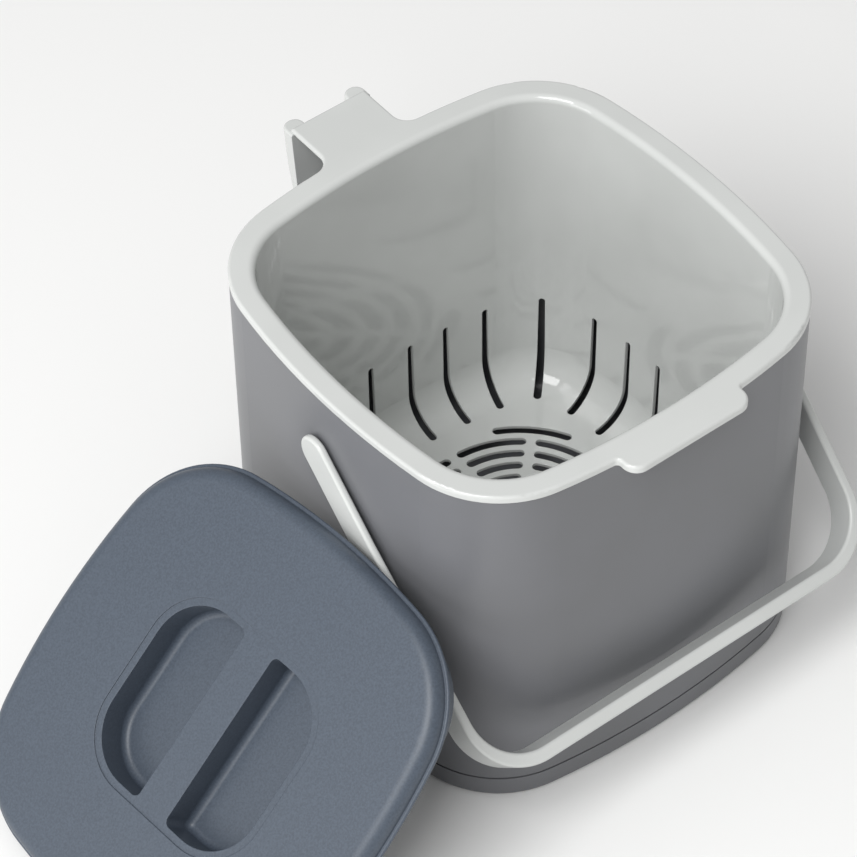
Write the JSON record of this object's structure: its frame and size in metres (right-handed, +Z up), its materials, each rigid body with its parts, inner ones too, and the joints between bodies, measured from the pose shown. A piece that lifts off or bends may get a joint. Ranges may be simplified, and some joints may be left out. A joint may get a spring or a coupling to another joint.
{
  "type": "kitchen food waste bin",
  "caption": "Rounded-square food waste bin: bucket, pierced inner basket with door hook and pull tab, swinging carry handle and lift-off lid.",
  "frame": {"origin": "on the ground, under the middle of the bucket's base", "axes": "+Z up, +Y to the back where the door hook is, -Y to the pull tab, the handle's pivots on the X sides, the taken-off lid on the -X side"},
  "size_m": [0.3546, 0.2552, 0.188],
  "materials": {
    "bucket_plastic": "satin moulded polypropylene, dark grey",
    "basket_plastic": "smooth moulded polypropylene, light grey",
    "handle_plastic": "smooth moulded polypropylene, light grey",
    "lid_plastic": "fine-textured moulded polypropylene, blue grey"
  },
  "bodies": {
    "bucket": {"outer_bucket": "bucket_plastic"},
    "basket": {"inner_basket": "basket_plastic"},
    "handle": {"carry_handle": "handle_plastic"},
    "loose_lid": {"lid": "lid_plastic"}
  },
  "joints": [
    {"name": "basket_lift", "type": "slide", "parent": "bucket", "child": "basket", "axis": [0, 0, 1], "range_m": [0, 0.2]},
    {"name": "handle_swing", "type": "hinge", "parent": "bucket", "child": "handle", "pos_m": [0, 0, 0.1545], "axis": [-1, 0, 0], "range_deg": [0, 268.1]},
    {"name": "lid_lift", "type": "slide", "parent": "bucket", "child": "loose_lid", "axis": [0, 0, 1], "range_m": [0, 0.2]}
  ]
}
